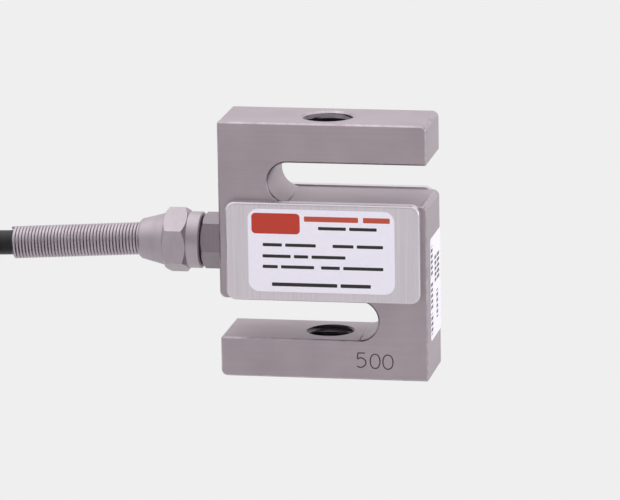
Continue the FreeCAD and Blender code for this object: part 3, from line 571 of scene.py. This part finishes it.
cores = {colour: coreFinish(colour, shade) for colour, shade in coreColours.items()}
finishes = {
    "front_cover": coverSteel, "rear_cover": coverSteel, "front_cover_seal": white, "rear_cover_seal": white,
    "upper_left_gauge": foil, "upper_right_gauge": foil, "lower_left_gauge": foil, "lower_right_gauge": foil,
    "board_pad": white, "terminal_board": board, "balance_resistor": lacquer, "span_resistor": lacquer,
    "solder_joints": solder, "gauge_leads": tinned, "drain_wire": tinned, "gland_body": glandNickelPaintedShade,
    "compression_nut": nickel, "clamp_ring": nickel, "gland_seal_ring": rubber, "sealing_grommet": rubber,
    "sheathed_cable": jacket, "hank_tie_back": strap, "hank_tie_front": strap,
}
for colour, finish in cores.items():
    finishes[f"{colour}_core"] = finish
    finishes[f"inner_{colour}_core"] = finish
for name, finish in finishes.items():
    dressNode(name, finish)
print("packed parts dressed")

# floor: pale to the eye and in reflections, and plain and matt to the light
floor = {"size": 6.0, "diffuse": rgb(238, 236, 238), "seen": rgb(239, 239, 239)}
bm = bmesh.new()
bmesh.ops.create_grid(bm, x_segments=1, y_segments=1, size=floor["size"] / 2)
floorFinish = Finish("paleFloor", {"Roughness": 0.9, "Specular IOR Level": 0.0,
                                   "Base Color": floor["diffuse"]})
glow = floorFinish.node("ShaderNodeEmission", {}, {"Color": floor["seen"], "Strength": 1.0})
rays = floorFinish.node("ShaderNodeLightPath", {}, {})
mirrored = Signal(floorFinish, rays.socket.node.outputs["Is Glossy Ray"])
lit = Signal(floorFinish, floorFinish.shader.outputs[0])
mixed = floorFinish.node("ShaderNodeMixShader", {}, {0: rays + mirrored, 1: lit, 2: glow})
floorFinish.tree.links.new(mixed.socket, floorFinish.output.inputs["Surface"])
floorPiece = newMesh(bm, "floor", floorFinish.material)

# light: a pale room that is darker behind the camera, and three soft boxes
worldLight = {
    "seen": rgb(239, 239, 239), "strength": 1.0,
    "room": [(0.0, (0.3, 0.28, 0.3, 1)), (0.08, (0.6, 0.58, 0.6, 1)), (0.2, (0.98, 0.96, 0.98, 1)),
             (1.0, (0.98, 0.96, 0.98, 1))],
}
softBoxes = {
    "overhead": {"place": (0.1, 0.3, 1.2), "aim": (0, 0, 0.03), "size": (1.6, 1.4), "power": 5},
    "left": {"place": (-0.9, -0.2, 1.1), "aim": (0, 0, 0.03), "size": (1.0, 1.2), "power": 2},
    "right": {"place": (1.2, 0.3, 0.3), "aim": (0, 0, 0.01), "size": (0.7, 0.5), "power": 2.5},
}
world = bpy.data.worlds.new("paleRoom")
world.use_nodes = True
tree = world.node_tree
tree.nodes.clear()
look = tree.nodes.new("ShaderNodeTexCoord")
axes = tree.nodes.new("ShaderNodeSeparateXYZ")
tree.links.new(look.outputs["Generated"], axes.inputs[0])
depth = tree.nodes.new("ShaderNodeMapRange")
depth.inputs["From Min"].default_value = -1
tree.links.new(axes.outputs[1], depth.inputs["Value"])
ramp = tree.nodes.new("ShaderNodeValToRGB")
for stop in range(len(worldLight["room"]) - 2):
    ramp.color_ramp.elements.new(0.5)
for element, (position, shade) in zip(ramp.color_ramp.elements, worldLight["room"]):
    element.position = position
    element.color = shade
tree.links.new(depth.outputs[0], ramp.inputs[0])
room = tree.nodes.new("ShaderNodeBackground")
tree.links.new(ramp.outputs[0], room.inputs["Color"])
room.inputs["Strength"].default_value = worldLight["strength"]
backdrop = tree.nodes.new("ShaderNodeBackground")
backdrop.inputs["Color"].default_value = worldLight["seen"]
path = tree.nodes.new("ShaderNodeLightPath")
either = tree.nodes.new("ShaderNodeMixShader")
tree.links.new(path.outputs["Is Camera Ray"], either.inputs[0])
tree.links.new(room.outputs[0], either.inputs[1])
tree.links.new(backdrop.outputs[0], either.inputs[2])
worldOut = tree.nodes.new("ShaderNodeOutputWorld")
tree.links.new(either.outputs[0], worldOut.inputs["Surface"])
bpy.context.scene.world = world
for name, spec in softBoxes.items():
    data = bpy.data.lights.new(name, "AREA")
    data.shape = "RECTANGLE"
    data.size, data.size_y = spec["size"]
    data.energy = spec["power"]
    lamp = bpy.data.objects.new(name, data)
    lamp.location = spec["place"]
    lamp.rotation_euler = (Vector(spec["aim"]) - Vector(spec["place"])).to_track_quat("-Z", "Y").to_euler()
    bpy.context.scene.collection.objects.link(lamp)
print("floor and light done")
